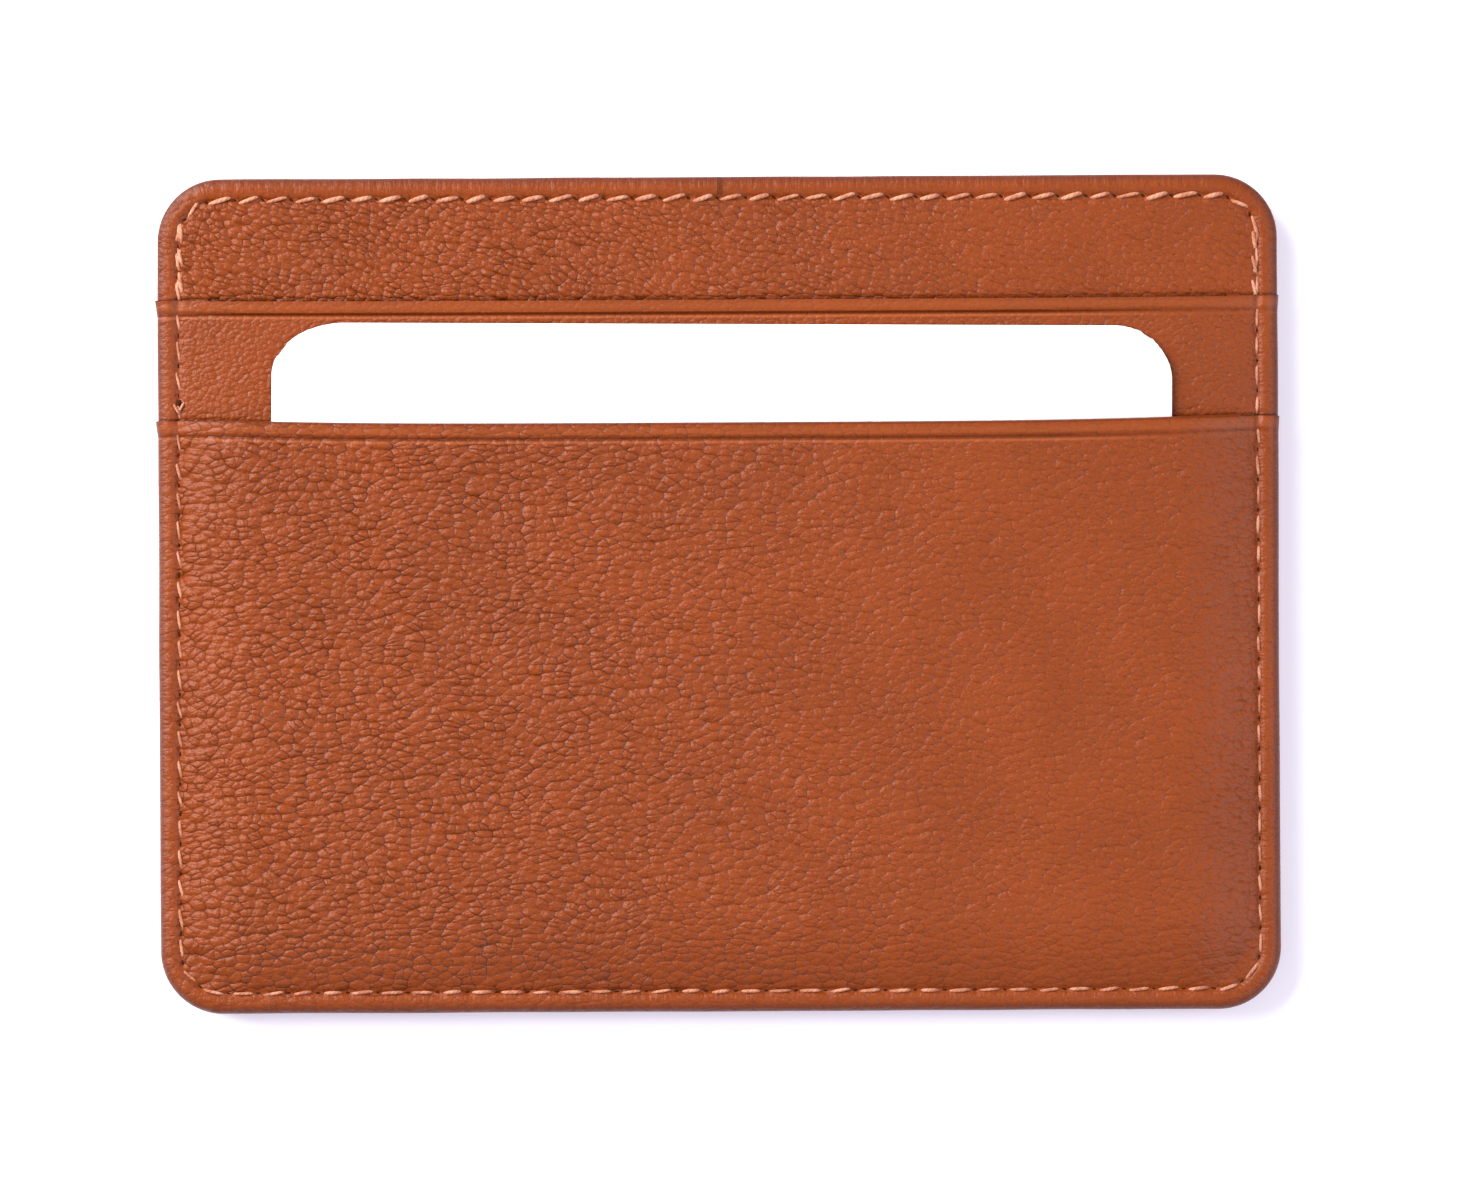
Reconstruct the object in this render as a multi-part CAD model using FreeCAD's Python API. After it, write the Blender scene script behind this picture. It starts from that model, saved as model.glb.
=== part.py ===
"""A sewn leather card holder with an open middle compartment and two card pockets on each side.

It lies flat, front up. X runs across its width, +Y points to its open top edge and +Z through its
thickness. The origin is the middle of its footprint, on the surface that it rests on. Millimetres.
"""

import math
import os

import FreeCAD
import Part

V = FreeCAD.Vector

# The closed holder, seen from the front
WIDTH = 100.0
HEIGHT = 74.5
CORNER_RADIUS = 5.6
UPPER_MOUTH = 63.6  # the pocket mouths, above the bottom edge
LOWER_MOUTH = 52.5

# The pinched rim that the seam holds, and the slope from it up to the flat middle
SLOPE_FOOT = 3.0  # in from the edge
SLOPE_TOP = 6.0
EDGE_ROUND = 1.0

# Turned edges
HEM_WIDTH = 1.3  # the rolled strip along each pocket mouth
HEM_RISE = 0.2
CREASE_WIDTH = 0.3
CREASE_DEPTH = 0.12
TURN_IN = 6.0  # leather folded behind a mouth or the top edge
SIDE_TURN_IN = 1.2  # the linings stop this far from the sides and the bottom
STIFFENER_INSET = 6.4

# Thickness of each layer in the flat middle, and of the skived leather and lining at the rim
COMPARTMENT_HALF_GAP = 0.10
COMPARTMENT_LINING = 0.12
STIFFENER = 0.25
PANEL = 0.45
EMPTY_SLOT = 0.08
POCKET_LINING = 0.10
UPPER_LEATHER = 0.45
LOWER_LEATHER = 0.55
RIM_COMPARTMENT_LINING = 0.08
RIM_PANEL = 0.45
RIM_POCKET_LINING = 0.05
RIM_UPPER_LEATHER = 0.30
RIM_LOWER_LEATHER = 0.40

# The blank card in the front lower pocket
CARD_WIDTH = 80.2
CARD_HEIGHT = 55.0
CARD_THICKNESS = 0.32
CARD_RADIUS = 5.2
CARD_TOP = 61.3  # above the holder's bottom edge
CARD_OFFSET = 0.4  # to the right of the middle
CARD_TILT = -0.5  # degrees
CARD_CLEARANCE = 0.08
CARD_SLOT = HEM_RISE + 2 * CARD_CLEARANCE + CARD_THICKNESS + 0.12

# Stitching
SEAM_INSET = 2.0
GROOVE_WIDTH = 0.6
GROOVE_DEPTH = 0.2
THREAD_RADIUS = 0.2
STITCH_LENGTH = 1.8
STITCH_SLANT = 12.0  # degrees, on the hem row
HEM_PITCH = 2.55
SEAM_PITCH = 2.65
HEM_END_BELOW_TOP = 6.0  # the hem row ends and the seam starts here
TACKS_PER_SIDE = 3
TACK_OFFSET = 0.45  # the doubled stitches lie this far inside the row

HALF_WIDTH = WIDTH / 2
HALF_HEIGHT = HEIGHT / 2
FAR = 20.0  # well clear of every layer


def level(rim, flat):
    """One height of the stack above the middle plane: at the rim, and in the flat middle."""
    return {"rim": rim, "flat": flat}


def raised(height, by):
    return level(height["rim"] + by, height["flat"] + by)


def stack(card_slot):
    """The heights between the layers of one half, from the middle plane outwards."""
    s = {}
    s["compartment"] = level(0.0, COMPARTMENT_HALF_GAP)
    s["lining_top"] = level(RIM_COMPARTMENT_LINING, COMPARTMENT_HALF_GAP + COMPARTMENT_LINING)
    s["panel_low"] = level(s["lining_top"]["rim"], s["lining_top"]["flat"] + STIFFENER)
    s["panel_top"] = level(s["panel_low"]["rim"] + RIM_PANEL, s["panel_low"]["flat"] + PANEL)
    s["upper_lining_low"] = level(s["panel_top"]["rim"], s["panel_top"]["flat"] + EMPTY_SLOT)
    s["upper_low"] = level(
        s["upper_lining_low"]["rim"] + RIM_POCKET_LINING, s["upper_lining_low"]["flat"] + POCKET_LINING
    )
    s["upper_top"] = level(s["upper_low"]["rim"] + RIM_UPPER_LEATHER, s["upper_low"]["flat"] + UPPER_LEATHER)
    s["lower_lining_low"] = level(s["upper_top"]["rim"], s["upper_top"]["flat"] + card_slot)
    s["lower_low"] = level(
        s["lower_lining_low"]["rim"] + RIM_POCKET_LINING, s["lower_lining_low"]["flat"] + POCKET_LINING
    )
    s["lower_top"] = level(s["lower_low"]["rim"] + RIM_LOWER_LEATHER, s["lower_low"]["flat"] + LOWER_LEATHER)
    return s


FRONT = stack(CARD_SLOT)
BACK = stack(EMPTY_SLOT)
MIDDLE_PLANE = BACK["lower_top"]["flat"]  # the back's lower pocket rests on z = 0


def rounded_plate(inset, low, high, round_edges=0.0):
    """The holder's outline, moved in by inset, between two heights."""
    width = WIDTH - 2 * inset
    height = HEIGHT - 2 * inset
    plate = Part.makeBox(width, height, high - low, V(-width / 2, -height / 2, low))
    radius = max(CORNER_RADIUS - inset, 0.5)
    upright = [e for e in plate.Edges if abs(e.tangentAt(e.FirstParameter).z) > 0.9]
    plate = plate.makeFillet(radius, upright)
    if round_edges:
        rims = [e for e in plate.Edges if e.BoundBox.ZLength < 1e-6]
        plate = plate.makeFillet(round_edges, rims)
    return plate


def strip(low_y, high_y):
    """Everything between two heights above the bottom edge."""
    return Part.makeBox(
        WIDTH + 2 * FAR, high_y - low_y, 2 * FAR, V(-HALF_WIDTH - FAR, low_y - HALF_HEIGHT, -FAR)
    )


def below(height):
    """Everything under a level: flat at the rim, sloping up on three sides to the flat middle."""
    base = Part.makeBox(
        WIDTH + FAR, HEIGHT + 2 * FAR, FAR + height["rim"], V(-(WIDTH + FAR) / 2, -HALF_HEIGHT - FAR, -FAR)
    )
    foot_x = HALF_WIDTH - SLOPE_FOOT
    top_x = HALF_WIDTH - SLOPE_TOP
    foot_y = HALF_HEIGHT - SLOPE_FOOT
    top_y = HALF_HEIGHT - SLOPE_TOP
    open_y = -HALF_HEIGHT - FAR
    hump = Part.makeWedge(
        -foot_x, height["rim"], open_y, open_y, -top_x, foot_x, height["flat"], foot_y, top_y, top_x
    )
    hump.rotate(V(0, 0, 0), V(1, 0, 0), 90)
    return base.fuse(hump)


def layer(low, high):
    return below(high).cut(below(low))


def edge_form():
    """What the rolled outer edge leaves of the layers."""
    rim = FRONT["lower_top"]["rim"]
    rolled = rounded_plate(0.0, -rim, rim, EDGE_ROUND)
    return rolled.fuse(rounded_plate(EDGE_ROUND + 0.5, -FAR, FAR))


def seam_groove(top):
    """The channel that the stitches lie in, under a leather surface."""
    half = GROOVE_WIDTH / 2
    ring = rounded_plate(SEAM_INSET - half, -FAR, FAR).cut(rounded_plate(SEAM_INSET + half, -FAR, FAR))
    return layer(raised(top, -GROOVE_DEPTH), raised(top, 1.0)).common(ring)


OUTLINE = rounded_plate(0.0, -FAR, FAR)
LINING_OUTLINE = rounded_plate(SIDE_TURN_IN, -FAR, FAR)
EDGE_FORM = edge_form()


def tidy(shape):
    """One clean solid out of a boolean result."""
    return shape.removeSplitter()


def compartment_lining(s):
    lining = layer(s["compartment"], s["lining_top"]).common(LINING_OUTLINE)
    return tidy(lining.common(strip(0, HEIGHT - TURN_IN)))


def stiffener(s):
    return rounded_plate(STIFFENER_INSET, s["lining_top"]["flat"], s["panel_low"]["flat"])


def panel(s):
    """The half's own leather, folded to the inside along the top, the sides and the bottom."""
    leather = layer(s["panel_low"], s["panel_top"]).common(OUTLINE)
    folded_top = layer(s["compartment"], s["panel_low"]).common(OUTLINE).common(strip(HEIGHT - TURN_IN, HEIGHT))
    folded_sides = layer(s["compartment"], s["lining_top"]).common(OUTLINE).cut(LINING_OUTLINE)
    leather = leather.fuse([folded_top, folded_sides])
    return tidy(leather.cut(seam_groove(s["panel_top"])).common(EDGE_FORM))


def pocket_lining(low, high, mouth):
    lining = layer(low, high).common(LINING_OUTLINE)
    return tidy(lining.common(strip(0, mouth - TURN_IN)))


def pocket(lining_low, low, top, mouth, hem_rise):
    """A pocket's leather: folded in behind its mouth, with a rolled hem above a pressed crease."""
    leather = layer(low, top).common(OUTLINE).common(strip(0, mouth))
    folded_top = layer(lining_low, low).common(OUTLINE).common(strip(mouth - TURN_IN, mouth))
    folded_sides = layer(lining_low, low).common(OUTLINE).cut(LINING_OUTLINE).common(strip(0, mouth))
    leather = leather.fuse([folded_top, folded_sides])
    if hem_rise:
        hem = layer(top, raised(top, hem_rise)).common(LINING_OUTLINE)
        leather = leather.fuse(hem.common(strip(mouth - HEM_WIDTH, mouth)))
    crease = layer(raised(top, -CREASE_DEPTH), raised(top, 1.0)).common(LINING_OUTLINE)
    leather = leather.cut(crease.common(strip(mouth - HEM_WIDTH - CREASE_WIDTH, mouth - HEM_WIDTH)))
    return tidy(leather.cut(seam_groove(top)).common(EDGE_FORM))


def seam_point(s):
    """A point and a heading on the seam's closed path, s along it to the left from the top's middle."""
    half_x = HALF_WIDTH - SEAM_INSET
    half_y = HALF_HEIGHT - SEAM_INSET
    radius = CORNER_RADIUS - SEAM_INSET
    quarter = radius * math.pi / 2
    runs = [half_x - radius, quarter, 2 * (half_y - radius), quarter, 2 * (half_x - radius), quarter]
    runs += [2 * (half_y - radius), quarter, half_x - radius]
    total = sum(runs)
    s = s % total
    x, y, heading = 0.0, half_y, math.pi
    for number, run in enumerate(runs):
        bends = number % 2 == 1
        ahead = min(s, run)
        if bends:
            turn = ahead / radius
            x += radius * (math.sin(heading + turn) - math.sin(heading))
            y -= radius * (math.cos(heading + turn) - math.cos(heading))
            heading += turn
        else:
            x += ahead * math.cos(heading)
            y += ahead * math.sin(heading)
        s -= ahead
        if s <= 1e-9:
            break
    return x, y, heading


def seam_length():
    half_x = HALF_WIDTH - SEAM_INSET
    half_y = HALF_HEIGHT - SEAM_INSET
    radius = CORNER_RADIUS - SEAM_INSET
    return 4 * (half_x + half_y - 2 * radius) + 2 * math.pi * radius


def surface_height(s, x, y):
    """The leather's outer height above the middle plane where a stitch lies."""
    above_bottom = y + HALF_HEIGHT
    if above_bottom > UPPER_MOUTH:
        top = s["panel_top"]
    elif above_bottom > LOWER_MOUTH:
        top = s["upper_top"]
    else:
        top = s["lower_top"]
    inset = min(HALF_WIDTH - abs(x), above_bottom)
    climb = min(max((inset - SLOPE_FOOT) / (SLOPE_TOP - SLOPE_FOOT), 0.0), 1.0)
    return top["rim"] + climb * (top["flat"] - top["rim"])


def stitch(length):
    """A thread capsule along X, about the origin."""
    reach = length / 2 - THREAD_RADIUS
    ends = math.sqrt(0.5) * THREAD_RADIUS
    profile = Part.Wire([
        Part.makeLine(V(-reach - THREAD_RADIUS, 0, 0), V(reach + THREAD_RADIUS, 0, 0)),
        Part.Arc(V(reach + THREAD_RADIUS, 0, 0), V(reach + ends, 0, ends), V(reach, 0, THREAD_RADIUS)).toShape(),
        Part.makeLine(V(reach, 0, THREAD_RADIUS), V(-reach, 0, THREAD_RADIUS)),
        Part.Arc(V(-reach, 0, THREAD_RADIUS), V(-reach - ends, 0, ends), V(-reach - THREAD_RADIUS, 0, 0)).toShape(),
    ])
    return Part.Face(profile).revolve(V(0, 0, 0), V(1, 0, 0), 360)


def row(s, start, end, pitch, slant=0.0, offset=0.0):
    """Stitches along the seam path from start to end, lying in the groove of one half."""
    count = round((end - start) / pitch)
    step = (end - start) / count
    stitches = []
    for number in range(count):
        x, y, heading = seam_point(start + (number + 0.5) * step)
        x -= offset * math.sin(heading)
        y += offset * math.cos(heading)
        one = stitch(STITCH_LENGTH)
        one.rotate(V(0, 0, 0), V(0, 0, 1), math.degrees(heading) + slant)
        floor = surface_height(s, x, y) - (0.0 if offset else GROOVE_DEPTH)
        one.translate(V(x, y, floor + THREAD_RADIUS))
        stitches.append(one)
    return stitches


def hem_end():
    """How far along the seam path, from the top's middle, the hem row ends."""
    straight = HALF_WIDTH - CORNER_RADIUS
    corner = (CORNER_RADIUS - SEAM_INSET) * math.pi / 2
    return straight + corner + HEM_END_BELOW_TOP - CORNER_RADIUS


def hem_stitching(s):
    return Part.makeCompound(row(s, -hem_end(), hem_end(), HEM_PITCH, STITCH_SLANT))


def seam_stitching(s):
    return Part.makeCompound(row(s, hem_end(), seam_length() - hem_end(), SEAM_PITCH))


def tack_stitches(s):
    """Doubled stitches that lock the two ends of the seam, beside its first stitches."""
    run = TACKS_PER_SIDE * SEAM_PITCH
    left = row(s, hem_end(), hem_end() + run, SEAM_PITCH, 0.0, TACK_OFFSET)
    end = seam_length() - hem_end()
    right = row(s, end - run, end, SEAM_PITCH, 0.0, TACK_OFFSET)
    return Part.makeCompound(left + right)


def half(s, hem_rise):
    """The nodes of one half, above the middle plane."""
    return {
        "compartment_lining": compartment_lining(s),
        "stiffener": stiffener(s),
        "panel": panel(s),
        "upper_pocket_lining": pocket_lining(s["upper_lining_low"], s["upper_low"], UPPER_MOUTH),
        "upper_pocket": pocket(s["upper_lining_low"], s["upper_low"], s["upper_top"], UPPER_MOUTH, hem_rise),
        "lower_pocket_lining": pocket_lining(s["lower_lining_low"], s["lower_low"], LOWER_MOUTH),
        "lower_pocket": pocket(s["lower_lining_low"], s["lower_low"], s["lower_top"], LOWER_MOUTH, hem_rise),
        "hem_stitching": hem_stitching(s),
        "seam_stitching": seam_stitching(s),
        "tack_stitches": tack_stitches(s),
    }


def blank_card():
    """An unmarked card standing in the front lower pocket, clear of the hem that it slides over."""
    low = FRONT["upper_top"]["flat"] + HEM_RISE + CARD_CLEARANCE
    corner = V(CARD_OFFSET - CARD_WIDTH / 2, CARD_TOP - CARD_HEIGHT - HALF_HEIGHT, low)
    card = Part.makeBox(CARD_WIDTH, CARD_HEIGHT, CARD_THICKNESS, corner)
    upright = [e for e in card.Edges if abs(e.tangentAt(e.FirstParameter).z) > 0.9]
    card = card.makeFillet(CARD_RADIUS, upright)
    card.rotate(V(CARD_OFFSET, CARD_TOP - HALF_HEIGHT, 0), V(0, 0, 1), CARD_TILT)
    return card


def main():
    os.makedirs("parts", exist_ok=True)
    nodes = {}
    for name, shape in half(FRONT, HEM_RISE).items():
        nodes["front_" + name] = shape
    for name, shape in half(BACK, 0.0).items():
        nodes["back_" + name] = shape.mirror(V(0, 0, 0), V(0, 0, 1))
    nodes["blank_card"] = blank_card()
    for name, shape in nodes.items():
        shape.translate(V(0, 0, MIDDLE_PLANE))
        shape.exportStep(os.path.join("parts", name + ".step"))
        box = shape.BoundBox
        print(
            f"{name}: {len(shape.Solids)} solids, {shape.Volume:.1f} mm3, valid {shape.isValid()},"
            f" z {box.ZMin:.2f} to {box.ZMax:.2f}"
        )


main()
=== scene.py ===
# %% [markdown]
# # A sewn leather card holder
# The holder is a stack of thin leather pieces, lining cloth and thin board, sewn together along three
# sides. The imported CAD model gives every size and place. This lesson replaces its plain soft solids with
# leather that has a rolled edge, creased hems, a puckered seam and real stitches, and gives every piece
# a finish made of nodes.

# %% Load the fixed frame
import bmesh
import bpy
import math
import numpy as np
import random
from mathutils import Matrix, Vector, noise


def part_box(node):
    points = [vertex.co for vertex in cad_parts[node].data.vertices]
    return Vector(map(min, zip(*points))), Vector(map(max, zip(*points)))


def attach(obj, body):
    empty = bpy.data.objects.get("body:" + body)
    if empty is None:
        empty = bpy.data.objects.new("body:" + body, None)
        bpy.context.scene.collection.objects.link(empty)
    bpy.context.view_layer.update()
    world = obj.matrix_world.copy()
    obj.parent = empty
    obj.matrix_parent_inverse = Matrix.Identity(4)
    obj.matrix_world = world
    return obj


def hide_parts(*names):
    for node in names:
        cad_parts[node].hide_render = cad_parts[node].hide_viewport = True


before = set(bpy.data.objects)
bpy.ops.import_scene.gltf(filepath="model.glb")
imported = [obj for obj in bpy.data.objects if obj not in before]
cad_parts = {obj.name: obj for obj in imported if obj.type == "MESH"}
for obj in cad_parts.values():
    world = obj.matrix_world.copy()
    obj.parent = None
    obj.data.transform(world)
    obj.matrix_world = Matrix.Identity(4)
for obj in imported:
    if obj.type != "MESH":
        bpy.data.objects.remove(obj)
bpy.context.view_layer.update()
MM = 0.001
HAIR = 0.001 * MM
print("CAD nodes:", len(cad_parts))

# %% [markdown]
# ## Sizes
# Each half has three layers of leather: the panel, the upper pocket and, outermost, the lower pocket.
# Sizes are read from the CAD nodes' boxes where a box shows them. Heights are counted outwards from the
# middle plane, where the halves meet, so that the same code makes both. Only the front's CAD hems stand
# above their pockets.

# %% Sizes from the frame
outward = {"front": 1, "back": -1}
layer_over = {"panel": "upper_pocket", "upper_pocket": "lower_pocket", "lower_pocket": None}
mouth_at = {layer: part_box(f"front_{layer}")[1].y for layer in layer_over}
HALF_X, HALF_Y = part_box("front_panel")[1].x, mouth_at["panel"]
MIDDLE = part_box("front_compartment_lining")[0].z
CORNER = 5.6 * MM
SEAM_INSET = 1.87 * MM
LEATHER = 0.30 * MM
HEM_WIDTH = 1.3 * MM
HEM_RISE = 0.2 * MM
HEM_STACK = 0.52 * MM

flat_top = {}
for layer in layer_over:
    hem = 0.0 if layer == "panel" else HEM_RISE
    flat_top["front", layer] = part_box(f"front_{layer}")[1].z - hem - MIDDLE
    flat_top["back", layer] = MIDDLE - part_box(f"back_{layer}")[0].z
rim_top = {"panel": 0.78 * MM, "upper_pocket": 1.02 * MM, "lower_pocket": 1.33 * MM}
edge_top = {"panel": 0.26 * MM, "upper_pocket": 0.32 * MM, "lower_pocket": 0.42 * MM}
droop = {"panel": 0.0, "upper_pocket": 0.1 * MM, "lower_pocket": 0.6 * MM}
print("flat heights in mm:", {name: round(value / MM, 2) for name, value in flat_top.items()})

# %% [markdown]
# ## Small helpers for working as by hand
# An operator acts on whatever is selected. So each helper first clears the selection, and then picks
# vertices, edges or faces by where they are.

# %% Selecting by place
def only(piece):
    """Makes one object the selected and active one."""
    bpy.ops.object.select_all(action="DESELECT")
    piece.select_set(True)
    bpy.context.view_layer.objects.active = piece


def pick(piece, kind, test):
    """In edit mode, selects the verts, edges or faces that pass a test."""
    bpy.context.tool_settings.mesh_select_mode = (kind == "verts", kind == "edges", kind == "faces")
    bpy.ops.mesh.select_all(action="DESELECT")
    form = bmesh.from_edit_mesh(piece.data)
    for part in getattr(form, kind):
        if test(part):
            part.select_set(True)
    bmesh.update_edit_mesh(piece.data)


def start_edit():
    """Goes into edit mode with everything selected."""
    bpy.ops.object.mode_set(mode="EDIT")
    bpy.ops.mesh.select_all(action="SELECT")


def bake_modifier(piece, kind, **settings):
    """Adds a modifier with its settings and applies it."""
    only(piece)
    modifier = piece.modifiers.new(kind.title(), kind)
    for name, value in settings.items():
        setattr(modifier, name, value)
    bpy.ops.object.modifier_apply(modifier=modifier.name)


def points_of(piece):
    """The piece's vertices as an array, one row each."""
    flat = np.empty(len(piece.data.vertices) * 3)
    piece.data.vertices.foreach_get("co", flat)
    return flat.reshape(-1, 3)


def move_points(piece, points):
    piece.data.vertices.foreach_set("co", points.astype(np.float32).ravel())
    piece.data.update()


# %% [markdown]
# ## Where a point is on the holder
# The seam runs parallel to the edge. Two numbers say where a point lies beside it: how far in from the
# edge it is, and how far along the seam, counted to the left from the middle of the top.

# %% Distance in from the edge, and along the seam
STRAIGHT_X = HALF_X - CORNER
STRAIGHT_Y = HALF_Y - CORNER
SEAM_ARC = (CORNER - SEAM_INSET) * math.pi / 2
QUARTER = STRAIGHT_X + SEAM_ARC + STRAIGHT_Y


def edge_inset(x, y):
    """How far in from the rounded outline, and the outward direction there."""
    out_x, out_y = np.abs(x) - STRAIGHT_X, np.abs(y) - STRAIGHT_Y
    round_x, round_y = np.maximum(out_x, 0), np.maximum(out_y, 0)
    corner = (out_x > 0) & (out_y > 0)
    reach = np.maximum(np.hypot(round_x, round_y), 1e-9)
    side = out_x > out_y
    inset = np.where(corner, CORNER - reach, np.minimum(HALF_X - np.abs(x), HALF_Y - np.abs(y)))
    normal_x = np.where(corner, round_x / reach, side) * np.sign(x)
    normal_y = np.where(corner, round_y / reach, ~side) * np.sign(y)
    return inset, normal_x, normal_y


def along_seam(x, y):
    """How far along the seam a point lies, from the middle of the top to the left."""
    out_x, out_y = np.abs(x) - STRAIGHT_X, np.abs(y) - STRAIGHT_Y
    angle = np.arctan2(np.maximum(out_x, 0), np.maximum(out_y, 1e-9))
    corner = STRAIGHT_X + angle * (CORNER - SEAM_INSET)
    side = QUARTER - np.abs(y)
    run = np.where((out_x > 0) & (out_y > 0), corner, np.where(out_x > out_y, side, np.abs(x)))
    run = np.where(y < 0, 2 * QUARTER - run, run)
    return np.where(x > 0, 4 * QUARTER - run, run)


def seam_point(run):
    """The place and heading of a point along the seam."""
    run = run % (4 * QUARTER)
    right = run > 2 * QUARTER
    run = 4 * QUARTER - run if right else run
    below = run > QUARTER
    run = 2 * QUARTER - run if below else run
    radius = CORNER - SEAM_INSET
    if run < STRAIGHT_X:
        x, y, turn = run, HALF_Y - SEAM_INSET, 0.0
    elif run < STRAIGHT_X + SEAM_ARC:
        turn = (run - STRAIGHT_X) / radius
        x, y = STRAIGHT_X + radius * math.sin(turn), STRAIGHT_Y + radius * math.cos(turn)
    else:
        x, y, turn = HALF_X - SEAM_INSET, QUARTER - run, math.pi / 2
    turn = math.pi - turn if below else turn
    turn = -turn if right else turn
    return (x if right else -x), (-y if below else y), math.pi + turn


print("seam length in mm:", round(4 * QUARTER / MM, 1))

# %% [markdown]
# ## The stitch plan
# A hem row runs along the top and a little way down both sides, through the panel only. The seam runs
# round the other three sides, through every layer. Every stitch ends in a needle hole, and the leather
# is pulled down there.

# %% Where the needle went through
HEM_END = STRAIGHT_X + SEAM_ARC + 0.4 * MM
HEM_PITCH = 2.55 * MM
SEAM_PITCH = 2.65 * MM
hem_count = round(2 * HEM_END / HEM_PITCH)
seam_count = round((4 * QUARTER - 2 * HEM_END) / SEAM_PITCH)
hem_holes = np.linspace(-HEM_END, HEM_END, hem_count + 1)
seam_holes = np.linspace(HEM_END, 4 * QUARTER - HEM_END, seam_count + 1)
all_holes = np.unique(np.round(np.concatenate([hem_holes % (4 * QUARTER), seam_holes]), 7))


def from_hole(run):
    """The distance along the seam to the nearest needle hole."""
    wrapped = np.concatenate([all_holes - 4 * QUARTER, all_holes, all_holes + 4 * QUARTER])
    place = np.searchsorted(wrapped, run)
    return np.minimum(np.abs(run - wrapped[place - 1]), np.abs(run - wrapped[place % len(wrapped)]))


print("stitches in the hem row:", hem_count, "and in the seam:", seam_count)

# %% [markdown]
# ## The height of the leather
# Sewn leather makes a small pillow. Its outer edge is rolled over, the stitches press a valley into it,
# and from the valley it climbs to the flat middle. One function gives that height for every layer, so
# the stitches and the pieces under them always fit.

# %% The pressed shape of one layer
ROLL = 0.95 * MM
LAYER_STEP = 0.24 * MM
CROWN = 0.07 * MM
CLIMB_START, CLIMB_END = 2.0 * MM, 9.0 * MM
VALLEY = 0.13 * MM
HOLE_DEPTH = 0.10 * MM
PUCKER = 0.05 * MM
DIP = 0.16 * MM
MOUTH_REACH = 48 * MM


def smooth(value, start, end):
    """0 before start, 1 after end, and an even S between them."""
    share = np.clip((value - start) / (end - start), 0, 1)
    return share * share * (3 - 2 * share)


def hump(value, centre, width):
    """1 at the centre, and almost 0 from two widths away."""
    return np.exp(-((value - centre) / width) ** 2)


def covered(layer, y):
    """1 where the next layer lies over this one, 0 where this one shows."""
    over = layer_over[layer]
    if not over:
        return np.zeros_like(y)
    return 1 - smooth(y, mouth_at[over] - 0.6 * MM, mouth_at[over] + 0.1 * MM)


def mouth_sag(layer, x):
    """How far a mouth's ends rise above a straight line, and its middle droops below it."""
    return droop[layer] * (np.clip(np.abs(x) / MOUTH_REACH, 0, 1) ** 4 - 0.25)


def dip_beside(layer, x, y, inset):
    """The small dip where a layer runs under the next mouth."""
    over = layer_over[layer]
    if not over:
        return 0.0
    above = y - mouth_at[over] - mouth_sag(over, x)
    return DIP * hump(above, 0.02 * MM, 0.22 * MM) * (0.35 + 0.65 * smooth(inset, 1 * MM, 3 * MM))


def layer_height(side, layer, x, y):
    """How far out from the middle plane the leather's face is, without its skirt."""
    inset = np.maximum(edge_inset(x, y)[0], 0)
    under = covered(layer, y)
    rim = rim_top[layer] - under * LAYER_STEP
    bend = 1 - np.sqrt(1 - np.clip(1 - inset / ROLL, 0, 1) ** 2)
    crown = CROWN * hump(inset, 1.15 * MM, 0.5 * MM)
    off_x = np.maximum(CLIMB_END - (HALF_X - np.abs(x)), 0)
    off_y = np.maximum(CLIMB_END - (HALF_Y + y), 0)
    far_in = CLIMB_END - np.hypot(off_x, off_y)
    climb = np.clip((far_in - CLIMB_START) / (CLIMB_END - CLIMB_START), 0, 1)
    climb = 1 - (1 - climb) ** 2
    near_hole = hump(from_hole(along_seam(x, y)), 0, 0.5 * MM)
    valley = (VALLEY + HOLE_DEPTH * near_hole) * hump(inset, SEAM_INSET, 0.26 * MM) * (1 - 0.8 * under)
    pucker = PUCKER * (near_hole - 0.35) * hump(inset, SEAM_INSET, 1.0 * MM)
    height = rim - bend * (rim - edge_top[layer]) + crown + climb * (flat_top[side, layer] - rim)
    return height - valley - pucker - dip_beside(layer, x, y, inset)


trial = layer_height("front", "lower_pocket", np.array([0.0, -HALF_X + SEAM_INSET]), np.array([0.0, 0.0]))
print("flat middle and seam valley in mm:", np.round(trial / MM, 2))

# %% [markdown]
# ## The leather blank
# Every leather piece starts as the same blank, as if cut with one die. A plane gets round corners with
# a vertex bevel. Its edge is divided, and insets lay rings of faces beside it, close together where the
# roll and the seam need them. The middle is filled with a grid, and the skirt is extruded down from the
# outline. This gives rows of faces that follow the seam, which a plain grid would cut across. Marked
# heights tell the press which row of the skirt, or later of the roll, a point is in.

# %% Cutting the blank
RINGS = (0.06, 0.16, 0.34, 0.60, 0.86, 1.12, 1.38, 1.58, 1.75, 1.87, 1.99, 2.16, 2.4, 2.8, 3.3)
CORNER_STEPS = 18
LONG_EDGE = 10 * MM
SKIRT = (0.35, 0.72, 1.0)
SKIRT_MARK = 1 * MM
ROLL_MARK = 100 * MM


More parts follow.
